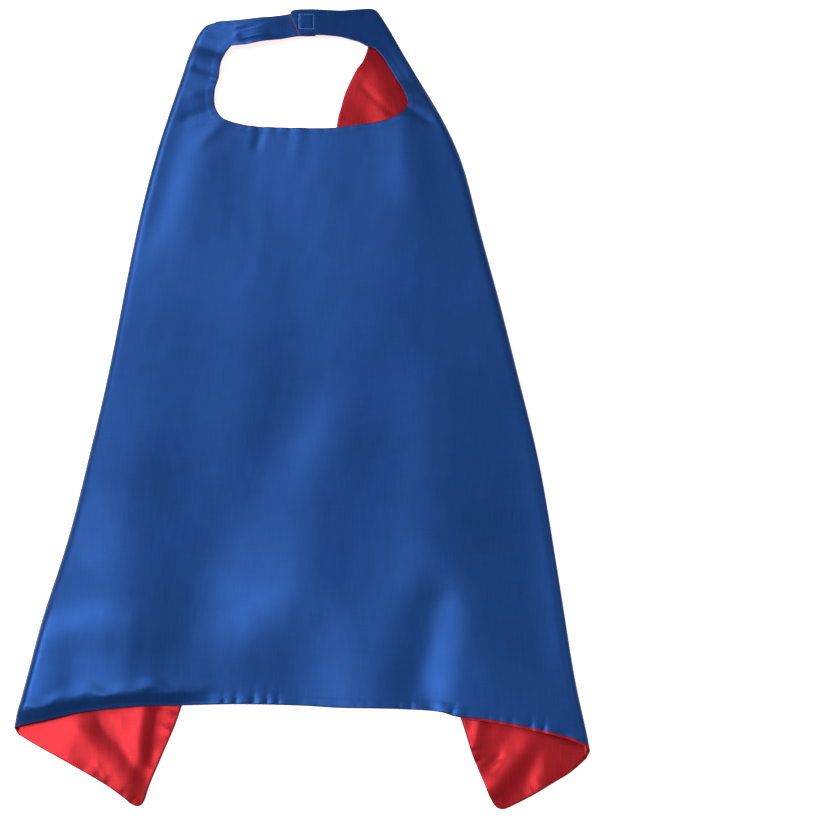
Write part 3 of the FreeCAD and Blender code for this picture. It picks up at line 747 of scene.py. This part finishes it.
def feed(tree, socket, value):
    """Set a socket, or link it where the value is another node's output."""
    if isinstance(value, bpy.types.NodeSocket):
        tree.links.new(value, socket)
    else:
        socket.default_value = value


def node(tree, kind, settings=None, **inputs):
    """A new node; an input is given by its name, or as i and its number where names repeat."""
    item = tree.nodes.new(kind)
    for key, value in (settings or {}).items():
        setattr(item, key, value)
    for key, value in inputs.items():
        numbered = key[0] == "i" and key[1:].isdigit()
        feed(tree, item.inputs[int(key[1:]) if numbered else key], value)
    return item


def new_material(name):
    """A material with only its output and a Principled shader."""
    material = bpy.data.materials.new(name)
    material.use_nodes = True
    return material, material.node_tree, material.node_tree.nodes["Principled BSDF"]


def set_shader(shader, settings):
    """Feed a shader's inputs."""
    for key, value in settings.items():
        feed(shader.id_data, shader.inputs[key], value)


def two_tones(tree, share, colour, dark):
    """A colour that runs from dark to the full colour as share goes from 0 to 1."""
    mix = node(tree, "ShaderNodeMix", {"data_type": "RGBA"}, Factor=share)
    mix.inputs[6].default_value = (*dark, 1)
    mix.inputs[7].default_value = (*colour, 1)
    return mix.outputs[2]


def flat_noise(tree, place, **inputs):
    """A noise over the flat pattern."""
    return node(tree, "ShaderNodeTexNoise", {"noise_dimensions": "2D"},
                Vector=place.outputs[0], **inputs)


def add_share(tree, added, share, base):
    """A share of one node's value, added to another's."""
    return node(tree, "ShaderNodeMath", {"operation": "MULTIPLY_ADD"},
                i0=added.outputs[0], i1=share, i2=base.outputs[0])


def satin(name, colour, dark, metallic, roughness):
    """Polyester satin: long warp floats that run along the cloth, and a soft tinted gloss."""
    material, tree, shader = new_material(name)
    pattern = node(tree, "ShaderNodeUVMap", {"uv_map": "pattern"})
    along = node(tree, "ShaderNodeMapping", Vector=pattern.outputs[0], Scale=(900, 45, 1))
    across = node(tree, "ShaderNodeMapping", Vector=pattern.outputs[0], Scale=(30, 900, 1))
    warp = flat_noise(tree, along, Scale=1.0, Detail=3.0, Roughness=0.65)
    weft = flat_noise(tree, across, Scale=1.0, Detail=2.0)
    threads = add_share(tree, weft, 0.45, warp)
    mottle = add_share(tree, flat_noise(tree, pattern, Scale=9.0, Detail=3.0), 0.7, threads)
    share = node(tree, "ShaderNodeMapRange", Value=mottle.outputs[0],
                 i1=0.72, i2=1.4, i3=0.0, i4=1.0)
    bump = node(tree, "ShaderNodeBump", Height=threads.outputs[0], Strength=0.14, Distance=0.0002)
    tangent = node(tree, "ShaderNodeTangent", {"direction_type": "UV_MAP", "uv_map": "pattern"})
    turned = node(tree, "ShaderNodeAttribute", {"attribute_name": "grain_turn"})
    quarter = node(tree, "ShaderNodeMath", {"operation": "MULTIPLY"},
                   i0=turned.outputs["Fac"], i1=0.25)
    set_shader(shader, {
        "Base Color": two_tones(tree, share.outputs[0], colour, dark),
        "Normal": bump.outputs[0],
        "Tangent": tangent.outputs[0],
        "Anisotropic Rotation": quarter.outputs[0],
        "Anisotropic": 0.45,
        "Metallic": metallic,
        "Roughness": roughness,
        "Specular IOR Level": 0.22,
        "Sheen Weight": 0.04,
        "Sheen Roughness": 0.4,
    })
    return material


def fibre(name, colour, dark, scale, roughness=0.6):
    """Thread, tape or nylon: mottled at the size of its fibres."""
    material, tree, shader = new_material(name)
    place = node(tree, "ShaderNodeTexCoord")
    grain = node(tree, "ShaderNodeTexNoise", Vector=place.outputs["Object"], Scale=scale, Detail=3.0)
    bump = node(tree, "ShaderNodeBump", Height=grain.outputs[0], Strength=0.4, Distance=0.0001)
    set_shader(shader, {
        "Base Color": two_tones(tree, grain.outputs[0], colour, dark),
        "Normal": bump.outputs[0],
        "Roughness": roughness,
        "Sheen Weight": 0.3,
    })
    return material


BLUE_SATIN = satin("blue_satin", (0.0062, 0.045, 0.186), (0.0040, 0.032, 0.138), 0.65, 0.42)
RED_SATIN = satin("red_satin", (0.35, 0.0088, 0.0155), (0.24, 0.005, 0.009), 0.6, 0.40)
PALE_THREAD = fibre("pale_blue_thread", (0.20, 0.40, 0.68), (0.08, 0.22, 0.50), 2600)
BLUE_THREAD = fibre("blue_thread", (0.012, 0.07, 0.28), (0.006, 0.04, 0.18), 2600)
TAPE_WEAVE = fibre("tape_weave", (0.02, 0.08, 0.26), (0.01, 0.045, 0.17), 1800, 0.8)
HOOK_NYLON = fibre("hook_nylon", (0.05, 0.14, 0.36), (0.03, 0.09, 0.26), 900, 0.35)
LOOP_NYLON = fibre("loop_nylon", (0.03, 0.10, 0.30), (0.015, 0.06, 0.20), 1500, 0.7)

# ---------- the cloth pieces

TAPE_LOW, TAPE_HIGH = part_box("hook_tape")
TAPE_CENTRE = ((TAPE_LOW.x + TAPE_HIGH.x) / 2 / MM, (TAPE_LOW.y + TAPE_HIGH.y) / 2 / MM)
TAPE_SIZE = (TAPE_HIGH.x - TAPE_LOW.x) / MM
STITCH_REACH = TAPE_SIZE / 2 - 1.5  # from the tape's middle to its stitches

BACK_OUTLINE = outline_of(
    HEM, fold_line("right", RIGHT_HEM_LOW, RIGHT_COLLAR_HIGH, round_the_turn),
    RIGHT_COLLAR, straight(STRAP_HIGH, STRAP_LOW), NECK, LEFT_STRAP,
    fold_line("left", LEFT_COLLAR_HIGH, LEFT_HEM_LOW, round_the_turn))
BACK_EDGES = Edges(HEM, RIGHT_COLLAR, STRAP_TOP[STRAP_TOP[:, 0] > STRAP_FOLD - EDGE_OVERLAP], NECK,
                   STRAP_BOTTOM[STRAP_BOTTOM[:, 0] > STRAP_FOLD - EDGE_OVERLAP], LEFT_STRAP)

STRAP_OUTLINE = outline_of(STRAP_TOP, straight(STRAP_TOP[-1], STRAP_BOTTOM[0]), STRAP_BOTTOM,
                           straight(STRAP_BOTTOM[-1], STRAP_TOP[0]))
TAB_OUTLINE = outline_of(TAB_EDGE, straight(TAB_EDGE[-1], TAB_EDGE[0]))
STRAP_EDGES = Edges(RIGHT_COLLAR[RIGHT_COLLAR[:, 0] < STRAP_FOLD + EDGE_OVERLAP], STRAP_TOP,
                    TAB_EDGE, STRAP_BOTTOM, NECK[:round(EDGE_OVERLAP / EDGE_STEP) + 1])

LEFT_OUTLINE = outline_of(LEFT_SIDE, fold_line("left", LEFT_COLLAR_HIGH, LEFT_HEM_LOW, under_edge))
RIGHT_OUTLINE = outline_of(
    RIGHT_SIDE, fold_line("right", RIGHT_HEM_LOW, RIGHT_COLLAR_HIGH, under_edge))
LEFT_EDGES, RIGHT_EDGES = Edges(LEFT_SIDE), Edges(RIGHT_SIDE)


def hinge_line(joint_name):
    """A point on a joint's axis, and its direction, in metres."""
    joint = next(joint for joint in frame["joints"] if joint["name"] == joint_name)
    return Vector(joint["pos_m"]), Vector(joint["axis"])


LEAST_FILL = 0.301  # a sheet's area is stated as at least this share of its flat box


def on_back(piece):
    """Lay a piece on the back, which doesn't move."""
    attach(piece, "back")


def on_tab(piece):
    """Bake the tab's placement into its mesh."""
    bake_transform(piece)


def on_right_strap(piece):
    """Bake the right strap's placement into its mesh."""
    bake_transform(piece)


def on_side(side):
    """What is done to a side's cloth: its placement is baked into its mesh; its hinge line is looked
    up but not used.
    """
    middle, axis = hinge_line(side + "_side_fold")
    return lambda piece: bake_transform(piece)


on_left_side, on_right_side = on_side("left"), on_side("right")


def declare(piece, held, rests_on):
    """Work out a piece's area from its pattern, at least a share of its flat box; nothing is done with
    it.
    """
    width, length = piece["flat"]
    area = min(max(piece["area"], LEAST_FILL * width * length), width * length)
    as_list(rests_on)


# Each part: name, outline, free edges, place function, whether it lies upside down, spacing of
# its mesh, what it moves with, the CAD parts it stands for, how it is held, what it rests on.
CLOTH_PARTS = (
    ("back", BACK_OUTLINE, BACK_EDGES, back_at, False, 1.7, on_back,
     ("back", "left_fold", "right_fold", "left_strap"), "folded", ["left_side", "right_side"]),
    ("left_side", LEFT_OUTLINE, LEFT_EDGES, left_side_at, True, 1.7, on_left_side,
     ("left_side",), "folded", []),
    ("right_side", RIGHT_OUTLINE, RIGHT_EDGES, right_side_at, True, 1.7, on_right_side,
     ("right_side",), "folded", []),
    ("right_strap", STRAP_OUTLINE, STRAP_EDGES, strap_at, False, 1.4, on_right_strap,
     ("right_strap",), "laid", ["back"]),
    ("tab", TAB_OUTLINE, STRAP_EDGES, strap_at, False, 1.1, on_tab,
     ("tab",), "laid", ["hook_tape"]),
)
# Each layer: its piece's name, CAD nodes' name, slot, upper and lower depth, and satin.
CLOTH_LAYERS = (
    ("shell_", "outer_shell_", "shell_satin", (0.0, SATIN), BLUE_SATIN),
    ("lining_satin_", "lining_", "lining_satin", (LINING_OUTER - SATIN, LINING_OUTER), RED_SATIN),
)
for part, outline, edges, place, under, spacing, move, nodes, held, rests_on in CLOTH_PARTS:
    for name, node_name, slot, depths, satin_kind in CLOTH_LAYERS:
        piece = cloth(name + part, outline, edges, place, depths[::-1] if under else depths,
                      spacing, satin_kind)
        move(piece)
        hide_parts(*(node_name + cad_part for cad_part in nodes))
        declare(piece, held, rests_on)

# ---------- tapes, stitches, seams

TAPE_BASE = 0.35  # thickness of a tape's woven base
TAPE_CORNER = 1.2  # radius of a tape's corners
TAPE_SPACING = 0.9  # of a tape's mesh
PILE_PITCH = 1.15  # from one hook or loop to the next
PILE_WANDER = 0.18  # how far a hook or loop stands out of its row
HOOK_HEIGHT, HOOK_RADIUS = 0.62, 0.07
HOOK_LEAN, HOOK_CURL = 0.16, 0.17  # half widths of its curled end, across and along
LOOP_HEIGHT, LOOP_RADIUS = 0.55, 0.06
LOOP_HALF_WIDTH = 0.3
LOOP_WIDTH_SPREAD, LOOP_HEIGHT_SPREAD = 0.12, 0.08
STITCH_DIVE = 0.3  # a stitch's ends lie this deep in the cloth


def tape_outline():
    """A square of tape with slightly rounded corners."""
    reach = TAPE_SIZE / 2 - TAPE_CORNER
    corners = []
    for quarter in range(4):
        middle = math.pi / 4 + quarter * math.pi / 2
        turn = np.linspace(middle - math.pi / 4, middle + math.pi / 4, 4)
        x = TAPE_CENTRE[0] + reach * math.copysign(1, math.cos(middle)) + TAPE_CORNER * np.cos(turn)
        y = TAPE_CENTRE[1] + reach * math.copysign(1, math.sin(middle)) + TAPE_CORNER * np.sin(turn)
        corners.append(np.stack([x, y], axis=1))
    sides = [straight(start[-1], end[0])[1:-1]
             for start, end in zip(corners, corners[1:] + corners[:1])]
    return np.vstack([part for pair in zip(corners, sides) for part in pair])


def pile_spots(seed):
    """Rows of spots over a tape, a little uneven, and a turn for each."""
    draw = np.random.default_rng(seed)
    row = np.arange(-TAPE_SIZE / 2 + 1, TAPE_SIZE / 2 - 0.6, PILE_PITCH)
    x, y = (grid.ravel() for grid in np.meshgrid(TAPE_CENTRE[0] + row, TAPE_CENTRE[1] + row))
    wander = draw.uniform(-PILE_WANDER, PILE_WANDER, (2, len(x)))
    return np.stack([x + wander[0], y + wander[1]], axis=1), draw.uniform(-1, 1, len(x))


def pile(name, place, edges, base, profile, material, seed, radius):
    """Hooks or loops that stand on a tape; profile gives each one's reach and height."""
    spots, turns = pile_spots(seed)
    feet = place(spots, edges.near(spots), base)
    paths = []
    for foot, turn in zip(feet, turns):
        reach, rise = profile(turn)
        angle = turn * 0.5
        paths.append(foot + np.stack([reach * math.cos(angle), reach * math.sin(angle), rise], axis=1))
    return tubes(name, paths, radius, 5, material)


def hook_profile(turn):
    """A stem that goes down from the tape and curls back up at its end."""
    lean = HOOK_LEAN * math.copysign(1, turn)
    curl = np.linspace(0, 1.35 * math.pi, 7)[1:]
    stem = -np.linspace(0, HOOK_HEIGHT - HOOK_CURL, 3)
    reach = np.r_[np.zeros(3), lean * (1 - np.cos(curl))]
    return reach, np.r_[stem, stem[-1] - HOOK_CURL * np.sin(curl)]


def loop_profile(turn):
    """A loop of soft pile."""
    arch = np.linspace(0, math.pi, 8)
    width = LOOP_HALF_WIDTH + LOOP_WIDTH_SPREAD * turn
    height = LOOP_HEIGHT + LOOP_HEIGHT_SPREAD * turn
    return width * (1 - np.cos(arch)), height * np.sin(arch) ** 0.8


def stitch_row(start, end, place, edges, face, outward):
    """Paths of one straight row of stitches; each rises from the cloth and dives again."""
    run = np.subtract(end, start)
    count = round(np.linalg.norm(run) / STITCH_PITCH)
    unit = run / np.linalg.norm(run)
    share = np.linspace(-0.5, 0.5, 7)
    above = THREAD * 0.9 - (THREAD + STITCH_DIVE) * abs(2 * share) ** 5
    paths = []
    for index in range(count):
        middle = np.asarray(start) + run * (index + 0.5) / count
        spots = middle + unit * (share * STITCH_LENGTH)[:, None]
        flat = place(spots, edges.near(spots), face)
        paths.append(flat + (above * outward)[:, None] * (0, 0, 1))
    return paths


def box_stitches(name, place, edges, face, outward):
    """The square of stitches that sews a tape to its strap."""
    x, y = TAPE_CENTRE
    corners = [(x + i * STITCH_REACH, y + j * STITCH_REACH)
               for i, j in ((-1, -1), (1, -1), (1, 1), (-1, 1))]
    paths = []
    for start, end in zip(corners, corners[1:] + corners[:1]):
        paths += stitch_row(start, end, place, edges, face, outward)
    return tubes(name, paths, THREAD, 6, PALE_THREAD)


def closing_stitches(name):
    """Small stitches over the hem's edge, where the cape was turned right side out."""
    low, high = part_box("hem_closing_stitches")
    count = round((high.x - low.x) / MM / STITCH_PITCH)
    over_edge = np.array([(-0.4, 0.9), (-0.2, 0.35), (0, 0.02), (0.2, 0.35), (0.4, 0.9)])
    clear_of_cloth = np.array([(0, 0, 0.05), (0, 0, 0.2), (0, -0.25, 0), (0, 0, -0.2), (0, 0, -0.05)])
    paths = []
    for index in range(count):
        x = low.x / MM + (index + 0.5) * STITCH_PITCH
        spots = HEM[np.argmin(abs(HEM[:, 0] - x))] + over_edge
        near = BACK_EDGES.near(spots)
        upper, lower = back_at(spots, near, 0.0), back_at(spots, near, LINING_OUTER)
        middle = (upper + lower) / 2
        paths.append(np.vstack([upper[:2], middle[2:3], lower[3:]]) + clear_of_cloth)
    return tubes(name, paths, THREAD * 0.8, 6, BLUE_THREAD)


def seam(name, curves, place, edges):
    """The seam's thread between shell and lining, inside each edge."""
    paths = []
    for curve in curves:
        line = curve + left_of(curve) * SEAM_INSET
        line = line[edges.near(line)[0] > 0.96 * SEAM_INSET]
        paths.append(place(line, edges.near(line), SEAM_DEPTH))
    return tubes(name, paths, SEAM_THREAD, 5, BLUE_THREAD)


def fastened(piece, cad_node, body):
    """Let a sewn-on piece ride on a body, in place of a CAD node."""
    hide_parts(cad_node)
    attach(piece, body)


hook_base = cloth("hook_tape_base", tape_outline(), STRAP_EDGES, strap_at,
                  (LINING_OUTER, LINING_OUTER + TAPE_BASE), TAPE_SPACING, TAPE_WEAVE)
loop_base = cloth("loop_tape_base", tape_outline(), BACK_EDGES, back_at,
                  (-TAPE_BASE, 0.0), TAPE_SPACING, TAPE_WEAVE)
hooks = pile("hook_tape_hooks", strap_at, STRAP_EDGES, LINING_OUTER + TAPE_BASE, hook_profile,
             HOOK_NYLON, 5, HOOK_RADIUS)
loops = pile("loop_tape_loops", back_at, BACK_EDGES, -TAPE_BASE, loop_profile,
             LOOP_NYLON, 6, LOOP_RADIUS)
for piece in (hook_base, hooks):
    fastened(piece, "hook_tape", "tab")
for piece in (loop_base, loops):
    fastened(piece, "loop_tape", "back")
declare(hook_base, "laid", ["tab"])
declare(loop_base, "laid", ["back"])

fastened(box_stitches("hook_tape_box_stitches", strap_at, STRAP_EDGES, 0.0, 1),
         "hook_tape_stitches", "tab")
fastened(box_stitches("loop_tape_box_stitches", back_at, BACK_EDGES, LINING_OUTER, -1),
         "loop_tape_stitches", "back")
fastened(closing_stitches("hem_gap_stitches"), "hem_closing_stitches", "back")

for part, curves, place, edges, move in (
        ("hem", [HEM], back_at, BACK_EDGES, on_back),
        ("neck", [RIGHT_COLLAR, NECK, LEFT_STRAP], back_at, BACK_EDGES, on_back),
        ("left_side", [LEFT_SIDE], left_side_at, LEFT_EDGES, on_left_side),
        ("right_side", [RIGHT_SIDE], right_side_at, RIGHT_EDGES, on_right_side),
        ("right_strap", [STRAP_TOP, STRAP_BOTTOM], strap_at, STRAP_EDGES, on_right_strap),
        ("tab", [TAB_EDGE], strap_at, STRAP_EDGES, on_tab)):
    thread = seam("seam_" + part, curves, place, edges)
    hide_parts("seam_thread_" + part)
    move(thread)

# ---------- stage and view

FLOOR_REACH = 2400.0
FLOOR_DETAIL = 620.0  # the floor is meshed finely out to here, to follow its drop
FLOOR_GAP = 0.05  # between the floor and the cloth that lies on it
NEAR_DROP, NEAR_DROP_PLACE = 4.2, (-8, 9)  # beside a hinge line, for an opened side
FAR_DROP, FAR_DROP_PLACE = 10, (-6, 90)
AIM = Vector((0.0957, -0.0451, 0))  # the camera looks at this point, in metres
DISTANCE = 1.066  # from this far, in metres
ELEVATION = math.radians(72)


def line_of_y(joint_name):
    """x of a hinge line as a function of y."""
    middle, axis = hinge_line(joint_name)
    return lambda y: (middle.x + (np.asarray(y) * MM - middle.y) * axis.x / axis.y) / MM


LEFT_HINGE = line_of_y("left_side_fold")
RIGHT_HINGE = line_of_y("right_side_fold")


def floor_height(x, y):
    """The floor is flat under the cape, and falls gently away past its side folds."""
    past = np.maximum(LEFT_HINGE(y) - x, x - RIGHT_HINGE(y))
    drop = NEAR_DROP * ramp(past, *NEAR_DROP_PLACE) + FAR_DROP * ramp(past, *FAR_DROP_PLACE)
    return -FLOOR_GAP - drop


def floor():
    """A pale sheet of paper."""
    side = np.r_[-FLOOR_REACH, np.linspace(-FLOOR_DETAIL, FLOOR_DETAIL, 125), FLOOR_REACH]
    x, y = np.meshgrid(side, side)
    z = floor_height(x, y)
    count = len(side)
    positions = np.stack([x.ravel(), y.ravel(), z.ravel()], axis=1)
    faces = [(i * count + j, i * count + j + 1, (i + 1) * count + j + 1, (i + 1) * count + j)
             for i in range(count - 1) for j in range(count - 1)]
    material, _, shader = new_material("floor_paper")
    set_shader(shader, {
        "Base Color": (0.8, 0.8, 0.8, 1),
        "Roughness": 0.9,
        "Specular IOR Level": 0.1,
        "Emission Color": (1, 1, 1, 1),
        "Emission Strength": 0.75,
    })
    mesh_object("floor", positions, faces, material)


floor()


def light(name, location, size, power, aim=(0, 0, 0)):
    """A rectangular soft box that faces a point."""
    lamp = bpy.data.lights.new(name, "AREA")
    lamp.shape = "RECTANGLE"
    lamp.size, lamp.size_y = size
    lamp.energy = power
    item = in_scene(bpy.data.objects.new(name, lamp))
    item.location = location
    item.rotation_euler = (Vector(aim) - Vector(location)).to_track_quat("-Z", "Y").to_euler()


light("key_softbox_back", (-2.0, 2.5, 3.25), (1.0, 2.1), 122, (0, 2.5, 0))
light("key_softbox_front", (-2.0, -0.14, 3.25), (1.0, 2.1), 114, (0, -0.14, 0))
light("fill_softbox", (1.6, 0.2, 1.9), (1.4, 1.4), 8)

world = bpy.data.worlds.new("studio")
world.use_nodes = True
set_shader(world.node_tree.nodes["Background"], {"Color": (0.96, 0.98, 1.0, 1), "Strength": 0.3})
bpy.context.scene.world = world
bpy.context.scene.view_settings.view_transform = "Standard"

camera_data = bpy.data.cameras.new("camera")
camera_data.lens = 50
camera = in_scene(bpy.data.objects.new("camera", camera_data))
back_off = Vector((0, -math.cos(ELEVATION), math.sin(ELEVATION)))
camera.location = AIM + back_off * DISTANCE
camera.rotation_euler = (-back_off).to_track_quat("-Z", "Y").to_euler()
bpy.context.scene.camera = camera
